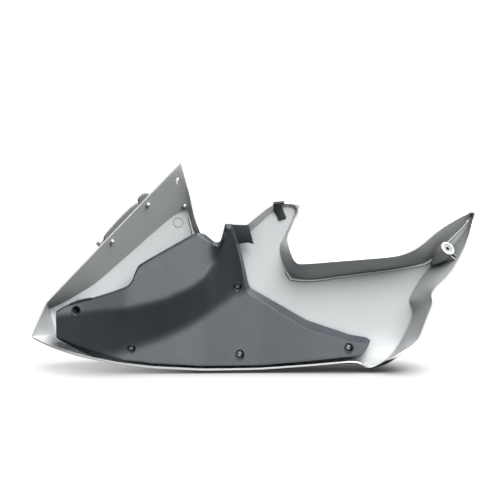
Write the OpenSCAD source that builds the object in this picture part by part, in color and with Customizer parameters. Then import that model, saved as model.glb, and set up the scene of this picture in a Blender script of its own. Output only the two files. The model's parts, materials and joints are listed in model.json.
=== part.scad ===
/* [Panel] */
// Length of the outer panel from the chin to the tail tip
panel_l = 775; // [700:5:850]
// Height of the outer panel from the belly to the apex
panel_h = 350; // [320:5:380]
// Wall thickness of the moulded outer panel
skin_t = 2.8; // [2:0.1:3.6]
// Lean of the main face from the vertical, in degrees
lean = 15; // [10:1:20]
// Outward bulge of the main face along its length
crown_l = 24; // [14:1:34]
// Outward bulge of the main face over its height
crown_h = 10; // [4:1:16]
// Depth of the rounded belly under the main face
belly_d = 20; // [12:1:26]

/* [Turned edges] */
// Depth of the front flange below the apex
front_d = 36; // [28:1:44]
// Depth of the flange round the notch
notch_d = 34; // [26:1:42]
// Depth of the rear wall
rear_d = 44; // [36:1:52]
// Depth of the belly flange at its middle
base_d = 52; // [44:1:60]
// Depth of the narrow flange round the valley and the arm
arm_d = 9; // [6:0.5:12]

/* [Liner] */
// Wall thickness of the inner liner
liner_t = 2.5; // [2:0.1:3.2]
// Depth of the step that runs across the liner
step_d = 54; // [44:1:60]
// Height over which the corners of the step turn
step_w = 14; // [8:1:24]
// Room between the edges of the liner and the panel behind them
liner_gap = 3; // [2:0.5:6]
// Width of the hooked tab
tab_w = 32; // [26:1:38]
// Height of the hooked tab
tab_h = 28; // [22:1:32]

/* [Fixings] */
// Diameter of the head of a liner screw
head_d = 11; // [9:0.5:12]
// Height of the head of a liner screw
head_h = 3; // [2:0.5:4]
// Diameter of the shank of a liner screw
shank_d = 4.8; // [3.5:0.1:5.5]
// Length of the shank of a liner screw
shank_l = 14; // [12:1:18]
// Inner diameter of the screw cups in the liner
cup_d = 15; // [13.5:0.5:17]
// Diameter of the open hole in the front cup
front_hole_d = 6.4; // [5.5:0.1:7.5]
// Depth of the screw cups in the liner
cup_h = 9; // [7:0.5:11]
// Outer diameter of the posts behind the liner
post_d = 12; // [9:0.5:13]
// Diameter of the head of a trim fastener
pin_head_d = 7.5; // [6:0.5:9]
// Diameter of the shank of a trim fastener
pin_d = 3.6; // [2.6:0.1:4.4]

/* [Rear boss] */
// Outer diameter of the rear boss
boss_d = 26; // [22:1:28]
// Diameter of the seat inside the rear boss
seat_d = 16; // [14:0.5:18]
// Depth of the seat inside the rear boss
seat_h = 15; // [12:1:17]
// Outer diameter of the steel sleeve
sleeve_d = 10; // [9:0.5:11]
// Bore of the steel sleeve
sleeve_bore_d = 6.6; // [5:0.1:7.5]
// Length of the steel sleeve
sleeve_l = 20; // [16:1:22]

/* [Trim strip] */
// Length of the trim strip along the front flange
strip_l = 127; // [110:1:150]
// Thickness of the trim strip
strip_t = 4; // [3:0.5:6]
// How far the trim strip stands out past the edge of the flange
strip_out = 8; // [5:0.5:11]

/* [Edge pad] */
// Width of the rubber pad on the arm
pad_w = 13; // [9:0.5:16]
// Length of the rubber pad down the inner face
pad_l = 27; // [20:1:34]
// Thickness of the rubber pad
pad_t = 2; // [1.5:0.1:3]

/* [Apex] */
// Diameter of the round end of the keyhole near the apex
key_d = 7; // [5:0.5:9]
// Width of the slot of the keyhole
key_slot = 3.2; // [2:0.1:4]
// Length of the slot below the round end
key_l = 5; // [3:0.5:8]
// Outer diameter of the raised ring under the apex
mark_d = 15; // [11:0.5:18]

/* [Hidden] */
$fn = 48;

// The outline points below are drawn for this length and height.
drawn_l = 775;
drawn_h = 350;
kx = panel_l / drawn_l;
kz = panel_h / drawn_h;

// Clearances
fit = 0.15;
seat_gap = 0.3;

// Middle of the crown, and its half spans
mid_x = -344 * kx;
mid_z = -34 * kz;
span_x = 400 * kx;
span_z = 180 * kz;
face_y = 12;
belly_h = 46 * kz;

// Line of the belly, where the main face turns under: x, z
belly_line = [for (p = [[-723, -140], [-683, -152], [-643, -172], [-573, -190], [-503, -200], [-432, -205],
                        [-362, -206], [-291, -204], [-221, -200], [-142, -196], [-107, -193], [60, -193]])
              [p[0] * kx, p[1] * kz]];

// Free edge of the belly flange: x, z
base_rim = [for (p = [[-723, -148], [-690, -163], [-640, -178], [-573, -190], [-512, -197], [-425, -201],
                      [-327, -200], [-244, -194], [-175, -188], [-152, -186], [-146, -196], [-133, -198],
                      [-109, -184]])
            [p[0] * kx, p[1] * kz]];

// Depth of the belly flange along its length
base_depth = [[-723 * kx, 0.68 * base_d], [-640 * kx, 0.86 * base_d], [-573 * kx, 0.98 * base_d],
              [-425 * kx, base_d], [-244 * kx, 0.95 * base_d], [-109 * kx, 0.86 * base_d]];

function mix(a, b, t) = a + (b - a) * t;
function clamp01(t) = min(1, max(0, t));
function unit(v) = v / norm(v);

// Depth of the inner surface of the main face, turning in towards the belly line
function face_depth(x, z) =
    face_y + tan(lean) * (z - mid_z)
    + crown_l * (1 - pow((x - mid_x) / span_x, 2))
    + crown_h * (1 - pow((z - mid_z) / span_z, 2));
function belly_turn(x, z) =
    let (u = clamp01(1 - (z - lookup(x, belly_line)) / belly_h))
    belly_d * (1 - sqrt(1 - 0.96 * u * u));
function panel_y(x, z) = face_depth(x, z) - belly_turn(x, z);

// Upper outline of the panel, from the front corner to the tail tip.
// Each row: fold x, z; free edge x, z; depth of the flange; x at the foot of its column; spans to the next row.
top_keys = [
    [[-698, -107], [-698, -91], front_d * 0.82, -683, 1],
    [[-677, -102], [-690, -83], front_d * 0.86, -674, 3],
    [[-615, -67], [-641, -33], front_d, -650, 4],
    [[-481, 47], [-515, 95], front_d * 1.18, -592, 1],
    [[-468, 53], [-465, 146], front_d * 0.94, -582, 1],
    [[-454, 57], [-449, 78], arm_d * 0.9, -573, 1],
    [[-451, 46], [-446, 56], arm_d * 1.2, -566, 1],
    [[-443, 15], [-433, 19], arm_d * 1.2, -555, 1],
    [[-419, -12], [-419, 2], arm_d, -540, 1],
    [[-394, -19], [-394, -4], arm_d, -526, 1],
    [[-371, -2], [-372, 13], arm_d, -512, 1],
    [[-344, 18], [-349, 33], arm_d, -497, 2],
    [[-300, 57], [-303, 69], arm_d * 0.7, -470, 1],
    [[-283, 63], [-284, 70], arm_d * 0.4, -455, 1],
    [[-257, 60], [-255, 66], arm_d * 0.4, -440, 2],
    [[-281, 15], [-278, 16], arm_d * 0.4, -425, 1],
    [[-287, 6], [-279, 5], notch_d * 0.2, -418, 1],
    [[-294, -8], [-275, -6], notch_d * 0.55, -408, 1],
    [[-287, -36], [-269, -22], notch_d * 0.8, -388, 1],
    [[-270, -61], [-261, -30], notch_d * 0.85, -358, 2],
    [[-234, -63], [-242, -28], notch_d * 0.92, -318, 5],
    [[-114, -46], [-117, -17], notch_d, -215, 2],
    [[-79, -41], [-82, -13], notch_d, -185, 1],
    [[-37, -33], [-57, -3], notch_d, -154, 1],
    [[-22, -25], [-40, 9], notch_d * 0.92, -142, 1],
    [[3, 4], [-15, 31], notch_d * 0.82, -130, 1],
    [[31, 31], [22, 50], notch_d * 0.42, -118, 1],
    [[49, 56], [52, 61], notch_d * 0.12, -107, 0]];

// Rear outline of the panel, from the belly to the tail tip: fold x, z; free edge x, z; depth.
rear_keys = [
    [[-107, -193], [-109, -184], rear_d],
    [[-96, -185], [-87, -173], rear_d],
    [[-85, -175], [-65, -161], rear_d],
    [[-79, -165], [-57, -155], rear_d],
    [[-73, -154], [-51, -149], rear_d],
    [[-62, -134], [-44, -133], rear_d],
    [[-56, -116], [-38, -117], rear_d],
    [[-60, -105], [-29, -96], rear_d * 0.96],
    [[-66, -96], [-26, -87], rear_d],
    [[-58, -82], [-30, -75], rear_d * 0.9],
    [[-48, -65], [-22, -62], rear_d],
    [[-31, -42], [-1, -44], rear_d],
    [[-14, -29], [10, -30], rear_d * 0.95],
    [[11, -4], [21, -15], rear_d * 0.88],
    [[36, 24], [38, 14], rear_d * 0.55],
    [[49, 56], [52, 61], notch_d * 0.12]];

// A chain of keys with its spans filled in by straight steps.
function filled(keys, col, spans) =
    [for (i = [0 : len(keys) - 2]) each [for (s = [0 : keys[i][spans] - 1])
        mix(keys[i][col], keys[i + 1][col], s / keys[i][spans])],
     keys[len(keys) - 1][col]];
function scaled(pts) = [for (p = pts) [p[0] * kx, p[1] * kz]];

panel_top = scaled(filled(top_keys, 0, 4));
panel_foot_x = [for (x = filled(top_keys, 3, 4)) x * kx];
panel_foot = [for (x = panel_foot_x) [x, lookup(x, belly_line)]];
panel_rear = scaled([for (k = rear_keys) k[0]]);

// Rows of the panel's grid, spaced like the points of the rear outline
function run(pts, i) = i <= 0 ? 0 : run(pts, i - 1) + norm(pts[i] - pts[i - 1]);
rear_l = run(panel_rear, len(panel_rear) - 1);
panel_rows = [for (j = [0 : len(panel_rear) - 1]) run(panel_rear, j) / rear_l];

top_edge = scaled(filled(top_keys, 1, 4));
top_depth = filled(top_keys, 2, 4);
rear_edge = scaled([for (k = rear_keys) k[1]]);

// How far the foot of the free edge runs forward of the belly line.
foot_shift = [[-683 * kx, -40 * kx], [-650 * kx, -24 * kx], [-592 * kx, -8 * kx], [-500 * kx, 0],
              [-142 * kx, -2 * kx], [-107 * kx, -2 * kx]];

function lift(p, d) = [p[0], panel_y(p[0], p[1]) - d, p[1]];
function edge3(fold, edge, d) = [edge[0], panel_y(fold[0], fold[1]) - d, edge[1]];

panel_rim_top = [for (i = [0 : len(panel_top) - 1]) edge3(panel_top[i], top_edge[i], top_depth[i])];
panel_rim_foot = [for (p = panel_foot)
    let (x = p[0] + lookup(p[0], foot_shift), flat = face_depth(p[0], p[1] + belly_h / 2))
    [x, flat - belly_d * 0.3 - lookup(x, base_depth), lookup(x, base_rim)]];
panel_rim_rear = [for (j = [0 : len(rear_keys) - 1])
    edge3(panel_rear[j], rear_edge[j], rear_keys[j][2])];

// Tray shapes: a grid of columns over the face and rings of points out to the free edge

// Point of column i at row j. The last columns take part of the bow of the rear outline, each one up to
// the place where it meets the top.
bow_columns = 7;
function column_point(foot, top, rear, rows, i, j) =
    let (n = len(foot) - 1, m = len(rows) - 1, straight = mix(foot[i], top[i], rows[j]), k = n - i)
    k >= bow_columns ? straight :
    let (end = 1 - (run(top, n) - run(top, i)) / run(rear, m),
         xs = [for (q = [0 : m]) [rows[q], rear[q][0]]], zs = [for (q = [0 : m]) [rows[q], rear[q][1]]],
         at = function (u) [lookup(u, xs), lookup(u, zs)])
    straight + (at(rows[j] * end) - mix(rear[0], at(end), rows[j])) * (1 - k / bow_columns);

// Place (column, row) of each point round the border, anticlockwise from the front foot.
function border(n, m) = concat(
    [for (i = [0 : n]) [i, 0]], [for (j = [1 : m]) [n, j]],
    [for (i = [n - 1 : -1 : 0]) [i, m]], [for (j = [m - 1 : -1 : 1]) [0, j]]);

// The free edge in the same order.
function rim_loop(rim_foot, rim_rear, rim_top, rows) =
    let (n = len(rim_foot) - 1, m = len(rows) - 1)
    concat(rim_foot, [for (j = [1 : m]) rim_rear[j]],
           [for (i = [n - 1 : -1 : 0]) rim_top[i]],
           [for (j = [m - 1 : -1 : 1]) mix(rim_foot[0], rim_top[0], rows[j])]);

// Closed points and faces of a tray. face: grid of points [column][row]; rim: loop of edge points;
// ring: shares of the way from fold to edge; sag: downward bow of the flange at each border point.
module tray(face, rim, ring, sag, t) {
    n = len(face) - 1;
    m = len(face[0]) - 1;
    b = border(n, m);
    l = len(b);
    r = len(ring);
    base = [for (p = b) face[p[0]][p[1]]];
    rings = [for (s = ring) [for (k = [0 : l - 1])
        mix(base[k], rim[k], s) - [0, 0, 4 * s * (1 - s) * sag[k]]]];
    // The fold is rounded by pulling each border point towards its two neighbours.
    inward = [for (p = b) face[min(n - 1, max(1, p[0]))][min(m - 1, max(1, p[1]))]];
    fold = [for (k = [0 : l - 1]) mix(base[k], (inward[k] + rings[0][k]) / 2, fold_ease)];
    grid = [for (i = [0 : n]) for (j = [0 : m]) face[i][j]];
    at = function (i, j) i * (m + 1) + j;
    edge_at = [for (p = b) at(p[0], p[1])];
    eased = [for (q = [0 : len(grid) - 1]) let (hit = search(q, edge_at)) len(hit) > 0 ? fold[hit[0]] : grid[q]];
    inner = concat(eased, [for (row = rings) each row]);
    g = len(grid);
    id = function (s, k) s == 0 ? edge_at[k % l] : g + (s - 1) * l + k % l;
    grid_n = [for (i = [0 : n]) for (j = [0 : m])
        unit(cross(eased[at(min(n, i + 1), j)] - eased[at(max(0, i - 1), j)],
                   eased[at(i, min(m, j + 1))] - eased[at(i, max(0, j - 1))]))];
    ring_n = [for (s = [0 : r]) [for (k = [0 : l - 1])
        unit(cross(inner[id(min(r, s + 1), k)] - (s == 0 ? inward[k] : inner[id(s - 1, k)]),
                   inner[id(s, k + 1)] - inner[id(s, k + l - 1)]))]];
    normals = concat(
        [for (q = [0 : g - 1]) let (hit = search(q, edge_at)) len(hit) > 0 ? ring_n[0][hit[0]] : grid_n[q]],
        [for (s = [1 : r]) each ring_n[s]]);
    c = len(inner);
    outer = [for (q = [0 : c - 1]) inner[q] - normals[q] * t];
    quads = concat(
        [for (i = [0 : n - 1]) for (j = [0 : m - 1]) [at(i, j), at(i, j + 1), at(i + 1, j + 1), at(i + 1, j)]],
        [for (s = [0 : r - 1]) for (k = [0 : l - 1]) [id(s, k), id(s, k + 1), id(s + 1, k + 1), id(s + 1, k)]]);
    shell = concat(
        [for (q = quads) each [[q[0], q[1], q[2]], [q[0], q[2], q[3]]]],
        [for (q = quads) each [[c + q[0], c + q[2], c + q[1]], [c + q[0], c + q[3], c + q[2]]]],
        [for (k = [0 : l - 1]) let (a = id(r, k), z = id(r, k + 1)) each [[a, z, c + z], [a, c + z, c + a]]]);
    polyhedron(points = concat(inner, outer), faces = shell, convexity = 8);
}

fold_ease = 0.35;

panel_face = [for (i = [0 : len(panel_foot) - 1]) [for (j = [0 : len(panel_rows) - 1])
    let (p = column_point(panel_foot, panel_top, panel_rear, panel_rows, i, j)) lift(p, 0)]];
panel_rim = rim_loop(panel_rim_foot, panel_rim_rear, panel_rim_top, panel_rows);
panel_ring = [0.12, 0.5, 1];
foot_sag = [[-160 * kx, 0], [-135 * kx, 7], [-107 * kx, 8]];
panel_sag = [for (k = [0 : len(panel_rim) - 1]) k < len(panel_foot) ? lookup(panel_foot[k][0], foot_sag)
    : k < len(panel_foot) + 2 ? 6 : 0];

// Liner surface: two slopes with an S-shaped step between them
function along(pts) = [for (p = pts) [p[0] * kx, p[1] * kz]];
liner_foot_z = along([[-680, -142], [-640, -161], [-573, -184], [-512, -192], [-425, -197],
                      [-327, -196], [-244, -189], [-150, -180]]);
liner_foot_y = [[-680, -44], [-640, -46], [-573, -55], [-512, -56], [-425, -54],
                [-327, -53], [-244, -51], [-150, -46]];
// Lower and upper end of the step along the liner: x, z
step_low = along([[-680, -172], [-620, -180], [-573, -176], [-551, -168], [-524, -160], [-494, -151],
                  [-450, -133], [-406, -109], [-371, -84], [-350, -78], [-300, -60]]);
step_up = along([[-680, -106], [-652, -104], [-608, -98], [-555, -94], [-494, -82], [-450, -65],
                 [-422, -48], [-406, -24], [-382, 40], [-350, 60], [-300, 80]]);
step_share = [[-680, 0.7], [-620, 0.84], [-560, 1], [-406, 1], [-384, 1.7], [-350, 1.9]];
liner_slope = 0.62;

// Zero below 0 and d above, with a rounded corner that is as wide as the turn of the step
function soft_ramp(d) =
    let (h = step_w / 2) d <= -h ? 0 : d >= h ? d : pow(d + h, 2) / (4 * h);
function liner_y(x, z) =
    let (u = x / kx,
         slope = lookup(u, liner_foot_y) + liner_slope * (z - lookup(x, liner_foot_z)),
         low = lookup(x, step_low), up = lookup(x, step_up))
    slope - step_d * lookup(u, step_share) * (soft_ramp(z - low) - soft_ramp(z - up)) / (up - low);

// Upper outline of the liner: fold x, z; edge x, z; share of the way back to the panel; foot x; spans.
liner_keys = [
    [[-679, -102], [-680, -101], 0.14, -679, 1],
    [[-669, -96], [-670, -94], 0.14, -670, 1],
    [[-655, -91], [-656, -89], 0.14, -659, 3],
    [[-617, -82], [-618, -80], 0.14, -634, 2],
    [[-585, -73], [-586, -71], 0.14, -612, 2],
    [[-556, -63], [-557, -61], 0.14, -596, 1],
    [[-547, -53], [-549, -52], 0.16, -588, 1],
    [[-542, -39], [-544, -38], 0.18, -580, 1],
    [[-537, -31], [-539, -29], 0.2, -572, 1],
    [[-526, -24], [-527, -22], 0.2, -560, 6],
    [[-445, 17], [-446, 19], 0.3, -508, 1],
    [[-434, 20], [-434, 22], 0.4, -496, 1],
    [[-425, 15], [-423, 18], 0.52, -486, 2],
    [[-409, 4], [-408, 6], 0.55, -468, 1],
    [[-401, 2], [-400, 5], 0.55, -460, 1],
    [[-394, 6], [-396, 8], 0.6, -453, 1],
    [[-390, 17], [-393, 17], 0.64, -447, 1],
    [[-386, 36], [-388, 37], 0.64, -440, 2],
    [[-378, 36], [-375, 37], 0.64, -420, 1],
    [[-369, 10], [-365, 10], 0.62, -404, 1],
    [[-360, -28], [-356, -27], 0.8, -384, 2],
    [[-354, -69], [-348, -66], 0.9, -362, 1],
    [[-349, -81], [-342, -74], 0.9, -346, 5],
    [[-250, -137], [-243, -123], 0.9, -264, 3],
    [[-172, -157], [-168, -149], 0.7, -190, 1],
    [[-146, -161], [-140, -155], 0.6, -164, 1],
    [[-138, -165], [-133, -160], 0.6, -149, 0]];
liner_rows = [0, 0.04, 0.09, 0.14, 0.19, 0.24, 0.29, 0.34, 0.39, 0.44, 0.49, 0.54, 0.59, 0.64, 0.69, 0.74, 0.79,
              0.84, 0.89, 0.93, 0.97, 1];

liner_top = scaled(filled(liner_keys, 0, 4));
liner_edge = scaled(filled(liner_keys, 1, 4));
liner_back = filled(liner_keys, 2, 4);
liner_foot = [for (x = filled(liner_keys, 3, 4)) let (s = x * kx) [s, lookup(s, liner_foot_z)]];
liner_last = len(liner_foot) - 1;
liner_rear = [for (r = liner_rows) mix(liner_foot[liner_last], liner_top[liner_last], r)];

function lift_liner(p) = [p[0], liner_y(p[0], p[1]), p[1]];
liner_face = [for (i = [0 : liner_last]) [for (j = [0 : len(liner_rows) - 1])
    lift_liner(column_point(liner_foot, liner_top, liner_rear, liner_rows, i, j))]];

// Free edge of the liner: it runs back towards the panel, and lies just above the belly at its foot.
function behind(p) = panel_y(p[0], p[1]) - liner_gap - liner_t;
liner_lip = 4;
liner_rim_top = [for (i = [0 : liner_last])
    let (e = liner_edge[i], y0 = liner_y(liner_top[i][0], liner_top[i][1]))
    [e[0], mix(y0, behind(e), liner_back[i]), e[1]]];
liner_rim_foot = [for (p = liner_foot)
    [p[0], min(liner_y(p[0], p[1]) + liner_lip, panel_y(p[0], p[1] - 1) - liner_t - 1), p[1] - 1]];
liner_rim_rear = [for (j = [0 : len(liner_rows) - 1])
    let (p = liner_rear[j], q = mix(liner_rim_foot[liner_last], liner_rim_top[liner_last], liner_rows[j]))
    [q[0] + 2 * sin(180 * liner_rows[j]), q[1], q[2]]];
liner_rim = rim_loop(liner_rim_foot, liner_rim_rear, liner_rim_top, liner_rows);
liner_sag = [for (p = liner_rim) 0];
liner_ring = [0.2, 1];

// Screw places on the liner: x, z. The last cup, at the front, stays open.
screw_at = along([[-551, -168], [-362, -180], [-172, -169], [-366, -71]]);
front_hole = [-645 * kx, -99 * kz];
cups = concat(screw_at, [front_hole]);
floor_t = liner_t;
function cup_y(p) = liner_y(p[0], p[1]) + cup_h;
function post_y(p) = cup_y(p) + floor_t + seat_gap;
// A shank stops short of the panel where the post is shallow.
function shank_reach(p) = min(shank_l, panel_y(p[0], p[1]) - cup_y(p) - 1.5);

// Points on the front flange: a along the edge in key spans, b from the fold to the free edge.
function key_mix(k, a, col) = mix(top_keys[k][col], top_keys[k + 1][col], a);
function flange_point(k, a, b) =
    let (fold = scaled([key_mix(k, a, 0)])[0], edge = scaled([key_mix(k, a, 1)])[0])
    mix(lift(fold, 0), edge3(fold, edge, key_mix(k, a, 2)), b);
function flange_normal(k, a, b) =
    let (h = 0.02)
    unit(cross(flange_point(k, a + h, b) - flange_point(k, a - h, b),
               flange_point(k, a, b + h) - flange_point(k, a, b - h)));
function flange_across(k, a, b) = unit(flange_point(k, a, b + 0.02) - flange_point(k, a, b - 0.02));
function flange_along(k, a, b) = unit(flange_point(k, a + 0.02, b) - flange_point(k, a - 0.02, b));

// Draws its children with z along n and x along u, at p.
module place(p, n, u) {
    ez = unit(n);
    ey = unit(cross(ez, u));
    ex = cross(ey, ez);
    multmatrix([[ex[0], ey[0], ez[0], p[0]], [ex[1], ey[1], ez[1], p[1]], [ex[2], ey[2], ez[2], p[2]], [0, 0, 0, 1]])
        children();
}

// Flange places: key span, share along, share across
pin_1 = [2, 0.4, 0.83];
pin_2 = [2, 0.895, 0.84];
pin_3 = [4, 0.5, 0.18];
keyhole = [3, 0.88, 0.74];

module on_flange(f) {
    place(flange_point(f[0], f[1], f[2]), flange_normal(f[0], f[1], f[2]), flange_along(f[0], f[1], f[2]))
        children();
}

// Rear boss: the origin lies on its axis just below the mouth, and the axis leans up and inward.
boss_axis = unit([0.43, -0.6, 0.67]);
mouth = 2.5;
boss_h = 22;
boss_foot_h = 28;
boss_foot_d = 6;
sleeve_top = 1;
module along_boss() {
    place([0, 0, 0], -boss_axis, [0, 0, 1])
        children();
}

module keyhole_cut() {
    on_flange(keyhole) rotate([0, 0, -45]) {
        cylinder(d = key_d, h = 8 * skin_t, center = true);
        translate([0, -(key_d + key_l) / 2, 0])
            cube([key_slot, key_d / 2 + key_l, 8 * skin_t], center = true);
    }
}

// Raised ring on the main face under the apex
mark_at = [-471 * kx, 36 * kz];
function panel_normal(x, z) =
    let (h = 1)
    unit(cross([2 * h, panel_y(x + h, z) - panel_y(x - h, z), 0], [0, panel_y(x, z + h) - panel_y(x, z - h), 2 * h]));
module ring_mark() {
    place(lift(mark_at, 0), panel_normal(mark_at[0], mark_at[1]), [1, 0, 0])
        rotate_extrude()
            translate([mark_d / 2 - 1.2, -1])
                square([1.2, 1.7]);
}

// Thin ribs that tie the rear boss to the rear wall: distance from the axis, depth along it
rib_t = 1.6;
rib_turn = 50;
rib_shape = [[10, 4], [24.5, 5.5], [16.8, 17.5], [10, 20]];
module boss_ribs() {
    along_boss()
        rotate([0, 0, rib_turn])
            for (s = [-4, 4])
                translate([s + rib_t / 2, 0, 0])
                    rotate([90, 0, -90])
                        linear_extrude(height = rib_t)
                            polygon([for (p = rib_shape) [-p[0], p[1]]]);
}

module outer_panel() {
    color("gainsboro")
    difference() {
        union() {
            tray(panel_face, panel_rim, panel_ring, panel_sag, skin_t);
            for (p = cups)
                translate([p[0], post_y(p), p[1]])
                    rotate([-90, 0, 0])
                        cylinder(d = post_d, h = panel_y(p[0], p[1]) + skin_t / 2 - post_y(p));
            along_boss() {
                translate([0, 0, -mouth])
                    cylinder(d = boss_d, h = boss_h);
                translate([0, 0, boss_h - mouth])
                    cylinder(d1 = boss_d, d2 = boss_foot_d, h = boss_foot_h);
            }
            boss_ribs();
            ring_mark();
        }
        for (p = cups)
            translate([p[0], post_y(p) - 1, p[1]])
                rotate([-90, 0, 0])
                    cylinder(d = shank_d + 2 * fit, h = 1 + shank_reach(p) - floor_t);
        along_boss() {
            translate([0, 0, -mouth - 1])
                cylinder(d = seat_d, h = seat_h + 1);
            cylinder(d = sleeve_d + 2 * fit, h = sleeve_l - sleeve_top + seat_gap);
        }
        for (f = [pin_1, pin_2, pin_3])
            on_flange(f)
                cylinder(d = pin_d + 2 * fit, h = 8 * skin_t, center = true);
        keyhole_cut();
    }
}

// Solid of a screw cup: its front follows the middle of the liner's wall, its back is flat.
module cup_wall(p) {
    m = $fn;
    r = cup_d / 2 + liner_t;
    y1 = cup_y(p) + floor_t;
    ring = [for (k = [0 : m - 1]) p + r * [cos(k * 360 / m), sin(k * 360 / m)]];
    front = [for (q = ring) [q[0], min(liner_y(q[0], q[1]) + liner_t / 2, y1 - floor_t / 2), q[1]]];
    back = [for (q = ring) [q[0], y1, q[1]]];
    polyhedron(
        points = concat(front, back, [[p[0], liner_y(p[0], p[1]) + liner_t / 2, p[1]], [p[0], y1, p[1]]]),
        faces = [for (k = [0 : m - 1]) let (q = (k + 1) % m) each
            [[2 * m, q, k], [k, q, m + q], [k, m + q, m + k], [2 * m + 1, m + k, m + q]]],
        convexity = 4);
}

// Flat hooked tab beside the top of the liner
tab_at = [-380 * kx, 2 * kz];
tab_y = min([for (i = [29, 30]) liner_rim_top[i][1]]) - 3;
module hooked_tab() {
    translate([tab_at[0], tab_y + liner_t, tab_at[1]])
        rotate([90, 0, 0])
            linear_extrude(height = liner_t)
                polygon([[0, 0.1 * tab_h], [0, tab_h], [1.08 * tab_w, 0.97 * tab_h], [1.32 * tab_w, 0],
                         [tab_w, 0.1 * tab_h], [0.4 * tab_w, 0]]);
}

drain = [-364 * kx, -192 * kz];
drain_d = 2.6;

module inner_liner() {
    color("dimgray")
    difference() {
        union() {
            tray(liner_face, liner_rim, liner_ring, liner_sag, liner_t);
            for (p = cups)
                cup_wall(p);
            hooked_tab();
        }
        for (p = cups)
            translate([p[0], cup_y(p) - 3 * cup_h, p[1]])
                rotate([-90, 0, 0])
                    cylinder(d = cup_d, h = 3 * cup_h);
        for (p = screw_at)
            translate([p[0], cup_y(p) - 1, p[1]])
                rotate([-90, 0, 0])
                    cylinder(d = shank_d + 4 * fit, h = floor_t + 2);
        translate([front_hole[0], cup_y(front_hole) - 1, front_hole[1]])
            rotate([-90, 0, 0])
                cylinder(d = front_hole_d, h = floor_t + 2);
        translate([drain[0], liner_y(drain[0], drain[1]), drain[1]])
            rotate([-90, 0, 0])
                cylinder(d = drain_d, h = 4 * liner_t, center = true);
    }
}

// Pan-head screw: the head's seat is at z = 0 and the shank runs down.
slot_w = 1.6;
module pan_screw(hd, hh, sd, sl) {
    difference() {
        union() {
            rotate_extrude()
                polygon([[0, 0], [hd / 2, 0], [hd / 2, 0.35 * hh], [0.44 * hd, 0.7 * hh], [0.32 * hd, 0.92 * hh],
                         [0.2 * hd, hh], [0, hh]]);
            translate([0, 0, -sl])
                cylinder(d = sd, h = sl + 0.5);
        }
        for (a = [0, 90])
            rotate([0, 0, a])
                translate([-hd * 0.24, -slot_w / 2, 0.35 * hh])
                    cube([hd * 0.48, slot_w, hh]);
    }
}
module liner_screw(p) {
    color("silver")
    translate([p[0], cup_y(p) - seat_gap, p[1]])
        rotate([90, 0, 0])
            pan_screw(head_d, head_h, shank_d, shank_reach(p));
}
module liner_screw_1() { liner_screw(screw_at[0]); }
module liner_screw_2() { liner_screw(screw_at[1]); }
module liner_screw_3() { liner_screw(screw_at[2]); }
module liner_screw_4() { liner_screw(screw_at[3]); }

// A solid strip through a row of four-cornered sections
module ribbon(sections) {
    n = len(sections);
    polyhedron(
        points = [for (s = sections) each s],
        faces = concat(
            [[0, 2, 1], [0, 3, 2]],
            [[4 * n - 4, 4 * n - 3, 4 * n - 2], [4 * n - 4, 4 * n - 2, 4 * n - 1]],
            [for (i = [0 : n - 2]) for (q = [0 : 3])
                let (a = 4 * i + q, b = 4 * i + (q + 1) % 4)
                each [[a, b, b + 4], [a, b + 4, a + 4]]]),
        convexity = 6);
}

// Trim strip on the outer side of the front flange. Each row: place along the strip, how far it stands out.
strip_key = 2;
strip_start = 0.275;
strip_inner = 0.68;
strip_shape = [[0, 0.9], [0.05, 0.95], [0.06, 0], [0.11, 0], [0.125, 0.3], [0.16, 0.7], [0.25, 0.9], [0.4, 1],
               [0.55, 1], [0.7, 0.85], [0.79, 0.5], [0.81, 0.1], [0.82, 0.75], [0.87, 1.15], [0.93, 1.1],
               [0.975, 0.8], [1, 0.1]];
edge_l = norm(flange_point(strip_key, 1, 1) - flange_point(strip_key, 0, 1));
flange_w = norm(flange_point(strip_key, 0.5, 1) - flange_point(strip_key, 0.5, 0));
strip_span = strip_l / edge_l;
module trim_strip() {
    color("gray")
    difference() {
        ribbon([for (s = strip_shape)
            let (a = strip_start + s[0] * strip_span, k = strip_key, out = 1 + s[1] * strip_out / flange_w,
                 n = flange_normal(k, a, 0.9), lo = flange_point(k, a, strip_inner), hi = flange_point(k, a, out),
                 g = skin_t + seat_gap)
            [lo - n * g, hi - n * g, hi - n * (g + strip_t), lo - n * (g + strip_t)]]);
        for (f = [pin_1, pin_2])
            on_flange(f)
                cylinder(d = pin_d + 2 * fit, h = 8 * (skin_t + strip_t), center = true);
    }
}

// Domed fastener pushed through a flange from the inner side
module domed_pin(f, l) {
    color("silver")
    on_flange(f)
        translate([0, 0, seat_gap + 0.1]) {
            rotate_extrude()
                polygon([[0, 0], [pin_head_d / 2, 0], [pin_head_d / 2, 0.12 * pin_head_d],
                         [0.46 * pin_head_d, 0.3 * pin_head_d], [0.36 * pin_head_d, 0.46 * pin_head_d],
                         [0.2 * pin_head_d, 0.56 * pin_head_d], [0, 0.6 * pin_head_d]]);
            translate([0, 0, -l])
                cylinder(d = pin_d, h = l + 0.5);
        }
}
module trim_screw_1() { domed_pin(pin_1, skin_t + strip_t + 5); }
module trim_screw_2() { domed_pin(pin_2, skin_t + strip_t + 5); }
module apex_screw() { domed_pin(pin_3, skin_t + 7); }

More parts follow.
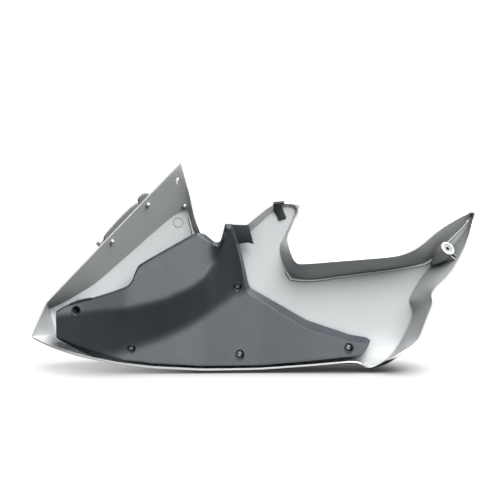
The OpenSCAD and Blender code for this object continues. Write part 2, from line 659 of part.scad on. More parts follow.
// Rubber pad folded over the top edge of the arm, its flap pointing to the arm's tip
pad_key = 12;
pad_a = 0.36;
pad_gap = 0.6;
pad_flap = 7;
module edge_pad() {
    n = flange_normal(pad_key, pad_a, 0.5);
    c = flange_across(pad_key, pad_a, 0.5);
    edge = flange_point(pad_key, pad_a, 1);
    root = flange_point(pad_key, pad_a, 0);
    down = [0.4, 0, -0.92];
    on = function (p) [p[0], panel_y(p[0], p[2]), p[2]];
    m = panel_normal(root[0], root[2]);
    sections = [
        [on(root + down * (pad_l - 7)) + m * pad_gap, m, 0],
        [on(root + down * 9) + m * pad_gap, m, 0],
        [mix(root, edge, 0.5) + n * pad_gap + m * 0.6, unit(m + n), 0],
        [edge + (n + c) * pad_gap, unit(n + c) * 1.3, 1],
        [edge - n * (skin_t + pad_gap) + c * pad_gap, unit(c - n) * 1.3, 1],
        [mix(root, edge, 0.35) - n * (skin_t + pad_gap), -n, 0]];
    color("black")
    ribbon([for (i = [0 : len(sections) - 1])
        let (q = sections[i], w = flange_along(pad_key, pad_a, i < 2 ? 0 : 1) * pad_w / 2,
             l = q[0] - w, r = q[0] + w * (1 + 2 * q[2] * pad_flap / pad_w))
        [l, r, r + q[1] * pad_t, l + q[1] * pad_t]]);
}

module tail_sleeve() {
    color("silver")
    along_boss()
        translate([0, 0, -sleeve_top])
            difference() {
                cylinder(d = sleeve_d, h = sleeve_l);
                translate([0, 0, -1])
                    cylinder(d = sleeve_bore_d, h = sleeve_l + 2);
            }
}

module tail_grommet() {
    color("black")
    along_boss()
        translate([0, 0, -sleeve_top])
            difference() {
                cylinder(d = seat_d - 2 * fit, h = seat_h - mouth + sleeve_top - seat_gap);
                translate([0, 0, -1])
                    cylinder(d = sleeve_d + 2 * fit, h = seat_h + 4);
            }
}

outer_panel();
inner_liner();
liner_screw_1();
liner_screw_2();
liner_screw_3();
liner_screw_4();
trim_strip();
trim_screw_1();
trim_screw_2();
apex_screw();
edge_pad();
tail_sleeve();
tail_grommet();
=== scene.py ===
import bpy
import bmesh
import json
import math
import numpy as np
from mathutils import Matrix, Vector

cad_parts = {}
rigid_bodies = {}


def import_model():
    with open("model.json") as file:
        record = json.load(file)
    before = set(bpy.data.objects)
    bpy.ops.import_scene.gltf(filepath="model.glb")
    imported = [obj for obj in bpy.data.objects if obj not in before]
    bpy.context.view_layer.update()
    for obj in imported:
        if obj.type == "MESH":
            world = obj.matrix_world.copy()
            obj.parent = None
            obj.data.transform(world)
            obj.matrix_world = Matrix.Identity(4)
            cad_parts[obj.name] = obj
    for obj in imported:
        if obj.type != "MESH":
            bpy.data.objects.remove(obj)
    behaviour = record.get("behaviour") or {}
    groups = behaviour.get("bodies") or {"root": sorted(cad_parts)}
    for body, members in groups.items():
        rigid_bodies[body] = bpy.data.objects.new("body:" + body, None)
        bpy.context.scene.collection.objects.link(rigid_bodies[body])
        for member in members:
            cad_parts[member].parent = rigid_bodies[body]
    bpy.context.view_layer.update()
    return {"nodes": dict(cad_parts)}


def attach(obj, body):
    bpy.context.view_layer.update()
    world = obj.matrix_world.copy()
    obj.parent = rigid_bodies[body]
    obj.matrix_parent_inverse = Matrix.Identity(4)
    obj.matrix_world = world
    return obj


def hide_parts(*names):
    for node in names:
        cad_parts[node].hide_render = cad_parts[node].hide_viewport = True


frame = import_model()
nodes = frame["nodes"]
scene = bpy.context.scene
mm = 0.001
print("frame loaded:", len(nodes), "solids")


# small helpers

def mix(a, b, t):
    return a + (b - a) * t


def vec(*values):
    return np.array(values, dtype=float)


def unit(v):
    return v / np.linalg.norm(v)


def lookup(x, rows):
    return float(np.interp(x, [r[0] for r in rows], [r[1] for r in rows]))


def linear(hexText):  # sRGB hex to the linear colour that shaders want
    values = [int(hexText[i:i + 2], 16) / 255 for i in (1, 3, 5)]
    return [v / 12.92 if v <= 0.04045 else ((v + 0.055) / 1.055) ** 2.4 for v in values] + [1.0]


def makeObject(name, verts, faces):  # verts in mm
    mesh = bpy.data.meshes.new(name)
    mesh.from_pydata([tuple(c * mm for c in v) for v in verts], [], faces)
    mesh.update()
    obj = bpy.data.objects.new(name, mesh)
    scene.collection.objects.link(obj)
    return obj


def modifier(obj, kind, **settings):
    mod = obj.modifiers.new(kind.lower(), kind)
    for key, value in settings.items():
        setattr(mod, key, value)
    return mod


def applyAll(obj):  # keeps the shape its modifiers make
    graph = bpy.context.evaluated_depsgraph_get()
    graph.update()
    done = bpy.data.meshes.new_from_object(obj.evaluated_get(graph))
    obj.modifiers.clear()
    obj.data = done
    return obj


def cutWith(obj, cutter):
    modifier(obj, "BOOLEAN", operation="DIFFERENCE", object=cutter, solver="EXACT")
    applyAll(obj)
    bpy.data.objects.remove(cutter)


def bevelEdges(obj, widthMm, angle=30, segments=2):
    modifier(obj, "BEVEL", width=widthMm * mm, segments=segments, limit_method="ANGLE",
             angle_limit=math.radians(angle))
    applyAll(obj)


def turnOutward(obj):  # all faces of a closed form look out
    bm = bmesh.new()
    bm.from_mesh(obj.data)
    bmesh.ops.recalc_face_normals(bm, faces=bm.faces)
    bm.to_mesh(obj.data)
    bm.free()
    return obj


def shadeSmooth(obj, angle=35):
    obj.data.shade_smooth()
    obj.data.set_sharp_from_angle(angle=math.radians(angle))


def finishPiece(obj, material, slotName, *cadNodes):
    slotOf = [polygon.material_index for polygon in obj.data.polygons]  # clearing the materials loses these
    obj.data.materials.clear()
    obj.data.materials.append(material)
    obj.data.polygons.foreach_set("material_index", slotOf)
    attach(obj, "root")
    if cadNodes:
        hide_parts(*cadNodes)
    return obj


# materials

def newMaterial(name):
    material = bpy.data.materials.new(name)
    material.use_nodes = True
    return material, material.node_tree, material.node_tree.nodes["Principled BSDF"]


def addNode(tree, kind, settings=None, links=None):
    node = tree.nodes.new(kind)
    for key, value in (settings or {}).items():
        if isinstance(key, int) or key in node.inputs:
            node.inputs[key].default_value = value
        else:
            setattr(node, key, value)
    for key, (source, output) in (links or {}).items():
        tree.links.new(source.outputs[output], node.inputs[key])
    return node


def perMetre(sizeMm):  # noise scale that gives features of this size
    return 1000.0 / sizeMm


def noiseNode(tree, place, sizeMm, detail, distortion=0.0):
    settings = {"Scale": perMetre(sizeMm), "Detail": detail, "Distortion": distortion}
    return addNode(tree, "ShaderNodeTexNoise", settings, {"Vector": (place, "Object")})


def mouldedPlastic(name, look):
    material, tree, shader = newMaterial(name)
    place = addNode(tree, "ShaderNodeTexCoord")
    cloud = noiseNode(tree, place, look["cloudMm"], 3.0)
    tone = addNode(tree, "ShaderNodeMix", {"data_type": "RGBA", 6: linear(look["dark"]), 7: linear(look["light"])},
                   {0: (cloud, "Fac")})
    if "cornerPaintedShadeMm" in look:  # painted shade: the base colour darkens in corners and folds, where little light reaches
        corner = addNode(tree, "ShaderNodeAmbientOcclusion", {"Distance": look["cornerPaintedShadeMm"] * mm, "samples": 12})
        shade = addNode(tree, "ShaderNodeMapRange", {"From Min": look["cornerPaintedShadeShut"], "From Max": look["cornerPaintedShadeOpen"],
                                                     "To Min": look["cornerPaintedShadeTone"]}, {"Value": (corner, "AO")})
        tone = addNode(tree, "ShaderNodeMix", {"data_type": "RGBA", "blend_type": "MULTIPLY", 0: 1.0},
                       {6: (tone, 2), 7: (shade, "Result")})
    tree.links.new(tone.outputs[2], shader.inputs["Base Color"])
    smear = noiseNode(tree, place, look["smearMm"], 4.0, 0.6)
    rough = addNode(tree, "ShaderNodeMapRange", {"From Min": 0.3, "From Max": 0.7, "To Min": look["roughLow"],
                                                  "To Max": look["roughHigh"]}, {"Value": (smear, "Fac")})
    tree.links.new(rough.outputs["Result"], shader.inputs["Roughness"])
    grain = noiseNode(tree, place, look["grainMm"], 2.0)
    bump = addNode(tree, "ShaderNodeBump", {"Strength": look["bump"], "Distance": look["bumpMm"] * mm},
                   {"Height": (grain, "Fac")})
    tree.links.new(bump.outputs["Normal"], shader.inputs["Normal"])
    shader.inputs["IOR"].default_value = look["ior"]
    shader.inputs["Metallic"].default_value = look.get("flake", 0.0)  # share of metal flake
    return material


# moulded ABS with silver flake in it: pale grey and satin, with soft wide highlights and a faint mottle, and painted
# shade in its corners
absLook = {"dark": "#b9bcbd", "light": "#c0c3c4", "cloudMm": 60, "smearMm": 25, "roughLow": 0.55, "roughHigh": 0.61,
           "grainMm": 2.2, "bump": 0.05, "bumpMm": 0.2, "ior": 1.53, "flake": 0.34, "cornerPaintedShadeMm": 70,
           "cornerPaintedShadeShut": 0.25, "cornerPaintedShadeOpen": 0.85, "cornerPaintedShadeTone": 0.38}
mouldedAbs = mouldedPlastic("mouldedAbs", absLook)

# a paler, smoother copy of the same ABS without its corner shade: painted highlight, so the rim and the beads read as
# thin bright lines
highlightPaintedLook = {key: value for key, value in absLook.items() if not key.startswith("corner")}
highlightPaintedLook.update({"dark": "#dfe1e2", "light": "#e8eaea", "roughLow": 0.3, "roughHigh": 0.38})
highlightPaintedAbs = mouldedPlastic("highlightPaintedAbs", highlightPaintedLook)

# moulded PP: charcoal with a waxy sheen, which lifts its upward slopes to mid grey
ppLook = {"dark": "#282e33", "light": "#2e343a", "cloudMm": 30, "smearMm": 12, "roughLow": 0.48, "roughHigh": 0.54,
          "grainMm": 1.6, "bump": 0.08, "bumpMm": 0.2, "ior": 1.49}
mouldedPp = mouldedPlastic("mouldedPp", ppLook)

# the same PP in mid grey for the strip
stripLook = dict(ppLook, dark="#7c7e80", light="#868889")
mouldedPpGrey = mouldedPlastic("mouldedPpGrey", stripLook)

# moulded rubber: black and matt, with a dusty bloom
rubberLook = {"dark": "#17181a", "light": "#222325", "cloudMm": 9, "smearMm": 6, "roughLow": 0.6, "roughHigh": 0.8,
              "grainMm": 0.9, "bump": 0.2, "bumpMm": 0.15, "ior": 1.52}
mouldedRubber = mouldedPlastic("mouldedRubber", rubberLook)

# the grommet in the boss is of pale natural rubber
mouldedRubberPale = mouldedPlastic("mouldedRubberPale", dict(rubberLook, dark="#8f9192", light="#9b9d9e"))


def metal(name, look):
    material, tree, shader = newMaterial(name)
    place = addNode(tree, "ShaderNodeTexCoord")
    haze = noiseNode(tree, place, look["hazeMm"], 5.0)
    rough = addNode(tree, "ShaderNodeMapRange", {"To Min": look["roughLow"], "To Max": look["roughHigh"]},
                    {"Value": (haze, "Fac")})
    tree.links.new(rough.outputs["Result"], shader.inputs["Roughness"])
    bump = addNode(tree, "ShaderNodeBump", {"Strength": 0.1, "Distance": 0.05 * mm}, {"Height": (haze, "Fac")})
    tree.links.new(bump.outputs["Normal"], shader.inputs["Normal"])
    shader.inputs["Base Color"].default_value = linear(look["colour"])
    shader.inputs["Metallic"].default_value = 1.0
    return material


# zinc-plated steel: bright cool grey, a little milky, so the heads glint against the dark liner
zincSteel = metal("zincSteel", {"colour": "#e6e6e2", "hazeMm": 1.5, "roughLow": 0.48, "roughHigh": 0.6})
# turned steel: darker, with a tight tool sheen
turnedSteel = metal("turnedSteel", {"colour": "#9c9b98", "hazeMm": 0.8, "roughLow": 0.28, "roughHigh": 0.42})
print("materials made")


# surfaces of the mouldings, the same rules as the solids; x along the panel, z up, in mm

face = {"depth": 12, "lean": 15, "middleX": -344, "middleZ": -34, "crownLong": 24, "halfLong": 400, "crownHigh": 10,
        "halfHigh": 180, "bellyDeep": 20, "bellyHigh": 46, "bellyRoll": 0.96, "bellyEdge": 0.3, "skin": 2.8}
bellyLine = [(-723, -140), (-683, -152), (-643, -172), (-573, -190), (-503, -200), (-432, -205), (-362, -206),
             (-291, -204), (-221, -200), (-142, -196), (-107, -193), (60, -193)]


def faceDepth(x, z):
    dx, dz = x - face["middleX"], z - face["middleZ"]
    return (face["depth"] + math.tan(math.radians(face["lean"])) * dz
            + face["crownLong"] * (1 - (dx / face["halfLong"]) ** 2)
            + face["crownHigh"] * (1 - (dz / face["halfHigh"]) ** 2))


def panelY(x, z):
    low = min(1.0, max(0.0, 1 - (z - lookup(x, bellyLine)) / face["bellyHigh"]))  # 1 at the belly line
    return faceDepth(x, z) - face["bellyDeep"] * (1 - math.sqrt(1 - face["bellyRoll"] * low * low))


def faceNormal(x, z):
    return unit(np.cross(vec(2, panelY(x + 1, z) - panelY(x - 1, z), 0),
                         vec(0, panelY(x, z + 1) - panelY(x, z - 1), 2)))


# upper outline: fold x, z; free edge x, z; flange depth; foot x; spans to the next row
flange = {"front": 36, "arm": 9, "notch": 34, "rear": 44}
front, arm, notch, rear = (flange[side] for side in ("front", "arm", "notch", "rear"))
topKeys = [
    (-698, -107, -698, -91, front * 0.82, -683, 1), (-677, -102, -690, -83, front * 0.86, -674, 3),
    (-615, -67, -641, -33, front, -650, 4), (-481, 47, -515, 95, front * 1.18, -592, 1),
    (-468, 53, -465, 146, front * 0.94, -582, 1), (-454, 57, -449, 78, arm * 0.9, -573, 1),
    (-451, 46, -446, 56, arm * 1.2, -566, 1), (-443, 15, -433, 19, arm * 1.2, -555, 1),
    (-419, -12, -419, 2, arm, -540, 1), (-394, -19, -394, -4, arm, -526, 1), (-371, -2, -372, 13, arm, -512, 1),
    (-344, 18, -349, 33, arm, -497, 2), (-300, 57, -303, 69, arm * 0.7, -470, 1),
    (-283, 63, -284, 70, arm * 0.4, -455, 1), (-257, 60, -255, 66, arm * 0.4, -440, 2),
    (-281, 15, -278, 16, arm * 0.4, -425, 1), (-287, 6, -279, 5, notch * 0.2, -418, 1),
    (-294, -8, -275, -6, notch * 0.55, -408, 1), (-287, -36, -269, -22, notch * 0.8, -388, 1),
    (-270, -61, -261, -30, notch * 0.85, -358, 2), (-234, -63, -242, -28, notch * 0.92, -318, 5),
    (-114, -46, -117, -17, notch, -215, 2), (-79, -41, -82, -13, notch, -185, 1), (-37, -33, -57, -3, notch, -154, 1),
    (-22, -25, -40, 9, notch * 0.92, -142, 1), (3, 4, -15, 31, notch * 0.82, -130, 1),
    (31, 31, 22, 50, notch * 0.42, -118, 1), (49, 56, 52, 61, notch * 0.12, -107, 0)]

# rear outline from the belly to the tail tip: fold x, z; free edge x, z; depth
rearKeys = [
    (-107, -193, -109, -184, rear), (-96, -185, -87, -173, rear), (-85, -175, -65, -161, rear),
    (-79, -165, -57, -155, rear), (-73, -154, -51, -149, rear), (-62, -134, -44, -133, rear),
    (-56, -116, -38, -117, rear), (-60, -105, -29, -96, rear * 0.96), (-66, -96, -26, -87, rear),
    (-58, -82, -30, -75, rear * 0.9), (-48, -65, -22, -62, rear), (-31, -42, -1, -44, rear),
    (-14, -29, 10, -30, rear * 0.95), (11, -4, 21, -15, rear * 0.88), (36, 24, 38, 14, rear * 0.55),
    (49, 56, 52, 61, notch * 0.12)]

# belly flange: height of its free edge, its depth, how far the edge runs forward of the fold, how much it hangs
baseRim = [(-723, -148), (-690, -163), (-640, -178), (-573, -190), (-512, -197), (-425, -201), (-327, -200),
           (-244, -194), (-175, -188), (-152, -186), (-146, -196), (-133, -198), (-109, -184)]
baseDepth = [(-723, 35.4), (-640, 44.7), (-573, 51), (-425, 52), (-244, 49.4), (-109, 44.7)]
footShift = [(-683, -40), (-650, -24), (-592, -8), (-500, 0), (-142, -2), (-107, -2)]
footSag = [(-160, 0), (-135, 7), (-107, 8)]


def fillKeys(keys, spans):
    out = []
    for i in range(len(keys) - 1):
        count = int(spans[i])
        out += [mix(vec(*keys[i]), vec(*keys[i + 1]), s / count) for s in range(count)]
    return out + [vec(*keys[-1])]


def runLength(points):
    total = [0.0]
    for i in range(1, len(points)):
        total.append(total[-1] + float(np.linalg.norm(points[i] - points[i - 1])))
    return total


bowColumns = 7  # so many of the last columns bend along with the rear edge


def columnGrid(foot, top, side, rows, sideRows):  # columns from the foot to the top, the last one along the side
    topRun, sideRun = runLength(top), runLength(side)
    last = len(foot) - 1
    xs, zs = [p[0] for p in side], [p[1] for p in side]

    def at(u):
        return vec(np.interp(u, sideRows, xs), np.interp(u, sideRows, zs))

    grid = []
    for i in range(len(foot)):
        k = last - i
        end = 1 - (topRun[-1] - topRun[i]) / sideRun[-1]
        column = []
        for v in rows:
            p = mix(foot[i], top[i], v)
            if k < bowColumns:
                p = p + (at(v * end) - mix(at(0), at(end), v)) * (1 - k / bowColumns)
            column.append(p)
        grid.append(column)
    return grid


def borderOf(lastColumn, lastRow):  # round the grid from the front foot
    return ([(i, 0) for i in range(lastColumn + 1)] + [(lastColumn, j) for j in range(1, lastRow + 1)]
            + [(i, lastRow) for i in range(lastColumn - 1, -1, -1)] + [(0, j) for j in range(lastRow - 1, 0, -1)])


def rimLoop(rimFoot, rimRear, rimTop, rows):
    last, lastRow = len(rimFoot) - 1, len(rows) - 1
    return (list(rimFoot) + [rimRear[j] for j in range(1, lastRow + 1)] + [rimTop[i] for i in range(last - 1, -1, -1)]
            + [mix(rimFoot[0], rimTop[0], rows[j]) for j in range(lastRow - 1, 0, -1)])


cornerReach = 2.5  # mm round a listed corner within which the rim stays sharp


def trayObject(name, grid, rim, ring, sag, foldCrease, corners):  # a face with a turned edge all round it
    columns, rowCount = len(grid), len(grid[0])
    border = borderOf(columns - 1, rowCount - 1)
    size = len(border)
    verts = [p for column in grid for p in column]

    def at(i, j):
        return i * rowCount + j

    edgeAt = [at(i, j) for i, j in border]
    for s in ring:
        for k in range(size):
            verts.append(mix(verts[edgeAt[k]], rim[k], s) - vec(0, 0, 4 * s * (1 - s) * sag[k]))
    base = columns * rowCount

    def ringAt(s, k):
        return edgeAt[k % size] if s == 0 else base + (s - 1) * size + k % size

    faces = [(at(i, j), at(i + 1, j), at(i + 1, j + 1), at(i, j + 1))
             for i in range(columns - 1) for j in range(rowCount - 1)]
    faces += [(ringAt(s, k), ringAt(s + 1, k), ringAt(s + 1, k + 1), ringAt(s, k + 1))
              for s in range(len(ring)) for k in range(size)]
    obj = makeObject(name, verts, faces)
    bm = bmesh.new()
    bm.from_mesh(obj.data)
    crease = bm.edges.layers.float.new("crease_edge")
    point = bm.verts.layers.float.new("crease_vert")
    foldPairs = {frozenset((edgeAt[k], edgeAt[(k + 1) % size])) for k in range(size)}
    for edge in bm.edges:
        if frozenset(v.index for v in edge.verts) in foldPairs:
            middle = (edge.verts[0].co + edge.verts[1].co) / 2 / mm
            edge[crease] = foldCrease(middle.x, middle.z)
    for v in bm.verts:
        if v.index >= base + (len(ring) - 1) * size:
            spot = vec(*v.co) / mm
            if any(math.hypot(spot[0] - c[0], spot[2] - c[1]) < cornerReach for c in corners):
                v[point] = 1.0
    bm.to_mesh(obj.data)
    bm.free()
    return obj


# outer panel

panelShape = {"ring": [0.12, 0.5, 0.93, 1.0], "softFold": 0.55, "crispFold": 0.86, "levels": 2, "edgeBevel": 0.45,
              "extraRows": [0.022, 0.975], "cornerSag": 6}


def panelCrease(x, z):  # crisp under the front flange and round the notch, soft elsewhere
    return panelShape["crispFold"] if z > -115 and (x < -440 or -300 < x < 0) else panelShape["softFold"]


topRows = fillKeys(topKeys, [k[6] for k in topKeys])
panelTop = [row[0:2] for row in topRows]
topEdge = [row[2:4] for row in topRows]
topDepth = [row[4] for row in topRows]
panelFoot = [vec(row[5], lookup(row[5], bellyLine)) for row in topRows]
rearFold = [vec(k[0], k[1]) for k in rearKeys]
rearRun = runLength(rearFold)
rearRows = [q / rearRun[-1] for q in rearRun]
panelRows = sorted(rearRows + panelShape["extraRows"])


def lift(p, depth=0.0):
    return vec(p[0], panelY(p[0], p[1]) - depth, p[1])


def edgePoint(fold, edge, depth):
    return vec(edge[0], panelY(fold[0], fold[1]) - depth, edge[1])


panelGrid = [[lift(p) for p in column] for column in columnGrid(panelFoot, panelTop, rearFold, panelRows, rearRows)]
rimTop = [edgePoint(panelTop[i], topEdge[i], topDepth[i]) for i in range(len(panelTop))]
rimFoot = []
for p in panelFoot:
    x = p[0] + lookup(p[0], footShift)
    level = faceDepth(p[0], p[1] + face["bellyHigh"] / 2) - face["bellyDeep"] * face["bellyEdge"]
    rimFoot.append(vec(x, level - lookup(x, baseDepth), lookup(x, baseRim)))
rearRim = [edgePoint(vec(k[0], k[1]), vec(k[2], k[3]), k[4]) for k in rearKeys]
rimRear = [vec(*[np.interp(v, rearRows, [q[c] for q in rearRim]) for c in range(3)]) for v in panelRows]
panelRim = rimLoop(rimFoot, rimRear, rimTop, panelRows)
panelSag = [lookup(p[0], footSag) for p in panelFoot] + [panelShape["cornerSag"]] * 2
panelSag += [0] * (len(panelRim) - len(panelSag))
sharpCorners = [(-465, 146), (-723, -148), (-698, -91), (-255, 66), (52, 61), (-152, -186), (-146, -196)]
panel = trayObject("outerSkin", panelGrid, panelRim, panelShape["ring"], panelSag, panelCrease, sharpCorners)
for material in (mouldedAbs, highlightPaintedAbs):
    panel.data.materials.append(material)
modifier(panel, "SUBSURF", levels=panelShape["levels"], render_levels=panelShape["levels"])
modifier(panel, "SOLIDIFY", thickness=face["skin"] * mm, offset=-1, use_even_offset=True, material_offset_rim=1)
applyAll(panel)
print("outer skin:", len(panel.data.polygons), "faces")


# places on the top flange: key, share along, share across

def flangePoint(key, along, across):
    row = mix(vec(*topKeys[key]), vec(*topKeys[key + 1]), along)
    return mix(lift(row[0:2]), edgePoint(row[0:2], row[2:4], row[4]), across)


def flangeFrame(key, along, across):
    step = 0.02
    dx = unit(flangePoint(key, along + step, across) - flangePoint(key, along - step, across))
    dy = unit(flangePoint(key, along, across + step) - flangePoint(key, along, across - step))
    return dx, dy, unit(np.cross(dx, dy))


def frameMatrix(origin, normal, along):  # z along the normal, x along the other
    ez = unit(normal)
    ey = unit(np.cross(ez, along))
    ex = np.cross(ey, ez)
    matrix = Matrix.Identity(4)
    for column, axis in enumerate((ex, ey, ez, origin * mm)):
        for row in range(3):
            matrix[row][column] = float(axis[row])
    return matrix


def lathe(name, profile, segments=48):  # profile: radius, height in mm; closed at the axis where the radius is 0
    bm = bmesh.new()
    rings = []
    for radius, height in profile:
        if radius < 1e-6:
            rings.append([bm.verts.new((0, 0, height * mm))])
        else:
            rings.append([bm.verts.new((radius * mm * math.cos(2 * math.pi * s / segments),
                                        radius * mm * math.sin(2 * math.pi * s / segments), height * mm))
                          for s in range(segments)])
    for lower, upper in zip(rings, rings[1:]):
        for s in range(segments):
            t = (s + 1) % segments
            quad = [lower[s % len(lower)], lower[t % len(lower)], upper[t % len(upper)], upper[s % len(upper)]]
            loop = [v for i, v in enumerate(quad) if v not in quad[:i]]
            if len(loop) > 2:
                bm.faces.new(loop)
    mesh = bpy.data.meshes.new(name)
    bm.normal_update()
    bmesh.ops.recalc_face_normals(bm, faces=bm.faces)
    bm.to_mesh(mesh)
    bm.free()
    obj = bpy.data.objects.new(name, mesh)
    scene.collection.objects.link(obj)
    return obj


def setPlace(obj, matrix):  # moves the mesh itself, so the object stays at the origin
    obj.data.transform(matrix)
    obj.data.update()
    return obj


# keyhole near the apex: a round end with a slot below it
keyhole = {"key": 3, "along": 0.88, "across": 0.74, "round": 7, "slot": 3.2, "slotLength": 5, "turn": -45,
           "cutReach": 12}
dx, dy, dn = flangeFrame(keyhole["key"], keyhole["along"], keyhole["across"])
holeAt = flangePoint(keyhole["key"], keyhole["along"], keyhole["across"])
holePlace = frameMatrix(holeAt, dn, dx) @ Matrix.Rotation(math.radians(keyhole["turn"]), 4, "Z")
reach, halfRound = keyhole["cutReach"], keyhole["round"] / 2
roundProfile = [(0, -reach), (halfRound, -reach), (halfRound, reach), (0, reach)]
cutWith(panel, setPlace(lathe("cutRound", roundProfile), holePlace))
halfSlot, deep = keyhole["slot"] / 2, halfRound + keyhole["slotLength"]
slotOutline = ((-halfSlot, -1), (halfSlot, -1), (halfSlot, -deep), (-halfSlot, -deep))
cutSlot = makeObject("cutSlot", [(x, y, z) for z in (-reach, reach) for x, y in slotOutline],
                     [(0, 1, 2, 3), (7, 6, 5, 4), (0, 4, 5, 1), (1, 5, 6, 2), (2, 6, 7, 3), (3, 7, 4, 0)])
cutWith(panel, setPlace(cutSlot, holePlace))
bevelEdges(panel, panelShape["edgeBevel"], 50)
shadeSmooth(panel, 50)
finishPiece(panel, mouldedAbs, "panel_plastic", "outer_panel")
panel.data.materials.append(highlightPaintedAbs)  # second material, the painted highlight on the rim that the wall thickness made

# rear boss with its counterbore; the axis leans up and inward
boss = {"axis": (0.43, -0.6, 0.67), "mouth": 2.5, "outer": 26, "height": 22, "footHeight": 27, "foot": 11,
        "seat": 16, "seatDepth": 15, "bore": 10.3, "boreDepth": 19.3, "lip": 0.8}
bossAxis = unit(vec(*boss["axis"]))
bossPlace = frameMatrix(vec(0, 0, 0), bossAxis, vec(0, 0, 1))
mouth, lip, boreEnd = boss["mouth"], boss["lip"], -boss["boreDepth"]
boreR, seatR, outerR = boss["bore"] / 2, boss["seat"] / 2, boss["outer"] / 2
seatAt, coneAt = mouth - boss["seatDepth"], mouth - boss["height"]
footAt = coneAt - boss["footHeight"]
bossProfile = [(0, boreEnd), (boreR, boreEnd), (boreR, seatAt), (seatR, seatAt), (seatR, mouth - lip),
               (seatR + lip, mouth), (outerR - lip, mouth), (outerR - 0.25 * lip, mouth - 0.25 * lip),
               (outerR, mouth - lip), (outerR, coneAt), (boss["foot"] / 2, footAt), (0, footAt)]
bossPiece = setPlace(lathe("rearBoss", bossProfile, 64), bossPlace)
shadeSmooth(bossPiece, 40)
finishPiece(bossPiece, mouldedAbs, "panel_plastic", "outer_panel")

# thin ribs between the boss and the rear wall: distance from the axis, depth along it
ribs = {"thick": 1.6, "turn": 50, "offsets": (-4, 4), "shape": [(10, 4), (24.5, 5.5), (16.8, 17.5), (10, 20)]}
ribFrame = frameMatrix(vec(0, 0, 0), -bossAxis, vec(0, 0, 1)) @ Matrix.Rotation(math.radians(ribs["turn"]), 4, "Z")
for number, offset in enumerate(ribs["offsets"]):
    verts = [(offset + side * ribs["thick"] / 2, p[0], p[1]) for side in (-1, 1) for p in ribs["shape"]]
    rib = makeObject("bossRib%d" % (number + 1), verts,
                     [(3, 2, 1, 0), (4, 5, 6, 7), (0, 1, 5, 4), (1, 2, 6, 5), (2, 3, 7, 6), (3, 0, 4, 7)])
    setPlace(rib, ribFrame)
    bevelEdges(rib, 0.3)
    shadeSmooth(rib, 40)
    finishPiece(rib, mouldedAbs, "panel_plastic", "outer_panel")

# plain raised ring under the apex
ringMark = {"x": -471, "z": 36, "outer": 18, "width": 1.5, "proud": 1.0, "shoulder": 0.4, "sunk": 0.8}
ringSpot = (ringMark["x"], ringMark["z"])
outerR, wide = ringMark["outer"] / 2, ringMark["width"]
ringProfile = [(outerR - wide, -ringMark["sunk"]), (outerR - wide, ringMark["shoulder"]),
               (outerR - 0.75 * wide, ringMark["proud"]), (outerR - 0.25 * wide, ringMark["proud"]),
               (outerR, ringMark["shoulder"]), (outerR, -ringMark["sunk"])]
ring = setPlace(lathe("raisedRing", ringProfile, 64),
                frameMatrix(lift(ringSpot), faceNormal(*ringSpot), vec(1, 0, 0)))
shadeSmooth(ring, 60)
finishPiece(ring, mouldedAbs, "panel_plastic", "outer_panel")
print("boss, ribs and ring made")


# inner liner: two slopes with a step between them that faces down

liner = {"thick": 2.5, "step": 54, "turnLow": 20, "turnUp": 10, "gap": 3, "slope": 0.62, "lip": 4, "levels": 1,
         "ring": [0.15, 0.6, 1.0], "foldCrease": 0.7, "columnSplit": 3, "rows": 38, "soften": 9}
linerFootZ = [(-680, -142), (-640, -161), (-573, -184), (-512, -192), (-425, -197), (-327, -196), (-244, -189),
              (-150, -180)]
linerFootY = [(-680, -44), (-640, -46), (-573, -55), (-512, -56), (-425, -54), (-327, -53), (-244, -51), (-150, -46)]
# lower and upper end of the step along the liner, its share of the full depth, and the skirt below the foot
stepLow = [(-680, -172), (-620, -180), (-573, -176), (-551, -168), (-524, -160), (-494, -151), (-450, -133),
           (-406, -109), (-371, -84), (-350, -78), (-300, -60)]
stepUp = [(-680, -106), (-652, -104), (-608, -98), (-555, -94), (-494, -82), (-450, -65), (-422, -48), (-406, -24),
          (-382, 40), (-350, 60), (-300, 80)]
stepShare = [(-680, 0.7), (-620, 0.84), (-560, 1), (-406, 1), (-384, 1.7), (-350, 1.9)]
skirt = [(-680, 3), (-655, 8), (-612, 12), (-570, 8), (-530, 2), (-500, 1)]


def softRamp(over, width):  # nothing below 0 and the value itself above, with a rounded corner
    half = width / 2
    return 0.0 if over <= -half else over if over >= half else (over + half) ** 2 / (4 * half)


def linerY(x, z):
    slope = lookup(x, linerFootY) + liner["slope"] * (z - lookup(x, linerFootZ))
    low, up = lookup(x, stepLow), lookup(x, stepUp)
    ramp = softRamp(z - low, liner["turnLow"]) - softRamp(z - up, liner["turnUp"])
    return slope - liner["step"] * lookup(x, stepShare) * ramp / (up - low)


def linerSoftY(x, z):  # a weighted mean of seven places along the liner, so that no kink of the tables shows
    weights = (1, 2, 3, 4, 3, 2, 1)
    return sum(linerY(x + liner["soften"] * k / 3, z) * weight for k, weight in zip(range(-3, 4), weights)) / 16


